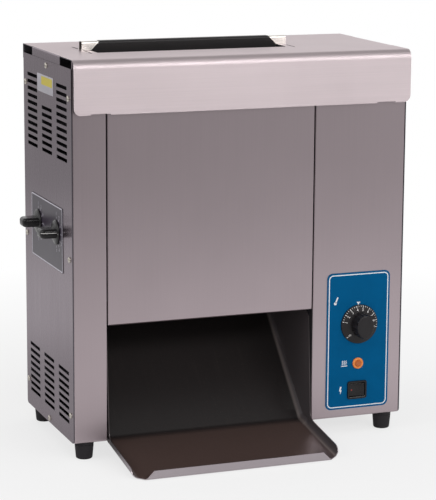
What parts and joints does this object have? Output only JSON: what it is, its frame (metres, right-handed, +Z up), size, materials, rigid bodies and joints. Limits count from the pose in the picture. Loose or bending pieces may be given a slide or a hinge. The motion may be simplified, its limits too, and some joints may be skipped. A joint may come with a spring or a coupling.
{
  "type": "vertical contact toaster",
  "caption": "Countertop contact toaster for buns: slot on top, heated upright platen between leaning belt conveyors, chute and tray in front, dial, lamp and rocker switch on the right.",
  "frame": {"origin": "on the worktop plane under the feet, at the middle of the whole outline seen from above", "axes": "+Z up, +X to the right seen from the front, +Y to the back; the tray points along -Y"},
  "size_m": [0.5584, 0.384, 0.6088],
  "materials": {
    "brushed_stainless": "brushed stainless steel sheet",
    "cast_aluminium": "cast aluminium, machined faces",
    "zinc_plated_steel": "zinc plated steel",
    "sintered_bronze": "sintered bronze, oil filled",
    "turned_aluminium": "turned aluminium",
    "release_coated_sheet": "dark non-stick release film",
    "coated_steel": "steel sheet with a dark non-stick coating",
    "black_moulded_plastic": "black moulded plastic",
    "grey_moulded_plastic": "grey moulded plastic",
    "black_rubber": "black rubber",
    "silicone_belt": "heat resistant silicone belt",
    "heater_ceramic": "pale glazed ceramic",
    "blue_overlay_film": "blue printed film",
    "grey_overlay_film": "grey printed film",
    "amber_lens": "translucent amber plastic",
    "dark_motor_enamel": "dark enamel"
  },
  "bodies": {
    "machine": {"left_side_cover": "brushed_stainless", "right_side_cover": "brushed_stainless", "left_pillar": "brushed_stainless", "front_cover": "brushed_stainless", "control_front": "brushed_stainless", "rear_cover": "brushed_stainless", "base_pan": "brushed_stainless", "left_bulkhead": "brushed_stainless", "right_bulkhead": "brushed_stainless", "hood": "brushed_stainless", "divider_cap": "brushed_stainless", "platen": "cast_aluminium", "release_sheet": "release_coated_sheet", "discharge_chute": "coated_steel", "crown_left_bush": "sintered_bronze", "crown_right_bush": "sintered_bronze", "heel_left_bush": "sintered_bronze", "heel_right_bush": "sintered_bronze", "drive_chain": "zinc_plated_steel", "motor_bracket": "zinc_plated_steel", "gearmotor": "dark_motor_enamel", "adjuster_bracket": "zinc_plated_steel", "control_overlay": "blue_overlay_film", "adjuster_overlay": "grey_overlay_film", "thermostat_body": "grey_moulded_plastic", "heater_lamp": "amber_lens", "switch_housing": "black_moulded_plastic", "heater_terminals": "heater_ceramic", "high_limit": "heater_ceramic", "terminal_block": "grey_moulded_plastic", "fan_frame": "black_moulded_plastic", "cord_inlet": "black_moulded_plastic", "foot_front_left": "black_rubber", "foot_front_right": "black_rubber", "foot_rear_left": "black_rubber", "foot_rear_right": "black_rubber"},
    "thermostat_dial": {"thermostat_knob": "black_moulded_plastic"},
    "power_rocker": {"switch_rocker": "black_moulded_plastic"},
    "crown_adjuster": {"crown_knob": "black_moulded_plastic", "crown_cam": "zinc_plated_steel"},
    "heel_adjuster": {"heel_knob": "black_moulded_plastic", "heel_cam": "zinc_plated_steel"},
    "crown_conveyor": {"crown_conveyor_frame": "brushed_stainless", "crown_belt": "silicone_belt", "crown_follower": "zinc_plated_steel"},
    "heel_conveyor": {"heel_conveyor_frame": "brushed_stainless", "heel_belt": "silicone_belt", "heel_follower": "zinc_plated_steel"},
    "crown_idler": {"crown_idler_roller": "turned_aluminium"},
    "heel_idler": {"heel_idler_roller": "turned_aluminium"},
    "crown_drive": {"crown_drive_roller": "turned_aluminium", "crown_gear": "zinc_plated_steel", "crown_sprocket": "zinc_plated_steel"},
    "heel_drive": {"heel_drive_roller": "turned_aluminium", "heel_gear": "zinc_plated_steel"},
    "motor_drive": {"motor_sprocket": "zinc_plated_steel"},
    "cooling_fan": {"fan_rotor": "black_moulded_plastic"}
  },
  "joints": [
    {"name": "dial_turn", "type": "hinge", "parent": "machine", "child": "thermostat_dial", "pos_m": [0.20715, -0.07, 0.174], "axis": [0, 1, 0], "range_deg": [-110, 135]},
    {"name": "rocker_tilt", "type": "hinge", "parent": "machine", "child": "power_rocker", "pos_m": [0.2054, -0.066, 0.06975], "axis": [0, 0, 1], "range_deg": [0, 14]},
    {"name": "crown_conveyor_swing", "type": "hinge", "parent": "machine", "child": "crown_conveyor", "pos_m": [-0.19785, 0.0082, 0.242], "axis": [-1, 0, 0], "range_deg": [0, 2.4]},
    {"name": "heel_conveyor_swing", "type": "hinge", "parent": "machine", "child": "heel_conveyor", "pos_m": [-0.19785, 0.1018, 0.242], "axis": [1, 0, 0], "range_deg": [0, 2.4]},
    {"name": "crown_adjuster_turn", "type": "hinge", "parent": "machine", "child": "crown_adjuster", "pos_m": [-0.25085, 0.007, 0.332], "axis": [-1, 0, 0], "range_deg": [0, 180]},
    {"name": "heel_adjuster_turn", "type": "hinge", "parent": "machine", "child": "heel_adjuster", "pos_m": [-0.25085, 0.103, 0.332], "axis": [-1, 0, 0], "range_deg": [0, 180]},
    {"name": "crown_drive_spin", "type": "hinge", "parent": "machine", "child": "crown_drive", "pos_m": [-0.19785, 0.0082, 0.242], "axis": [1, 0, 0], "continuous": true},
    {"name": "heel_drive_spin", "type": "hinge", "parent": "machine", "child": "heel_drive", "pos_m": [-0.19785, 0.1018, 0.242], "axis": [1, 0, 0], "continuous": true},
    {"name": "motor_sprocket_spin", "type": "hinge", "parent": "machine", "child": "motor_drive", "pos_m": [0.14715, 0.0082, 0.11818], "axis": [1, 0, 0], "continuous": true},
    {"name": "crown_idler_spin", "type": "hinge", "parent": "crown_conveyor", "child": "crown_idler", "pos_m": [-0.18485, -0.00436, 0.54174], "axis": [1, 0, 0], "continuous": true},
    {"name": "heel_idler_spin", "type": "hinge", "parent": "heel_conveyor", "child": "heel_idler", "pos_m": [-0.18485, 0.11436, 0.54174], "axis": [1, 0, 0], "continuous": true},
    {"name": "fan_spin", "type": "hinge", "parent": "machine", "child": "cooling_fan", "pos_m": [0.20715, 0.175, 0.142], "axis": [0, 1, 0], "continuous": true}
  ],
  "couplings": [
    {"joint": "heel_drive_spin", "follows": "crown_drive_spin", "ratio": -1},
    {"joint": "motor_sprocket_spin", "follows": "crown_drive_spin", "ratio": 1},
    {"joint": "crown_idler_spin", "follows": "crown_drive_spin", "ratio": 1},
    {"joint": "heel_idler_spin", "follows": "crown_drive_spin", "ratio": -1},
    {"joint": "crown_adjuster_turn", "follows": "crown_conveyor_swing", "ratio": 75},
    {"joint": "heel_adjuster_turn", "follows": "heel_conveyor_swing", "ratio": 75}
  ]
}
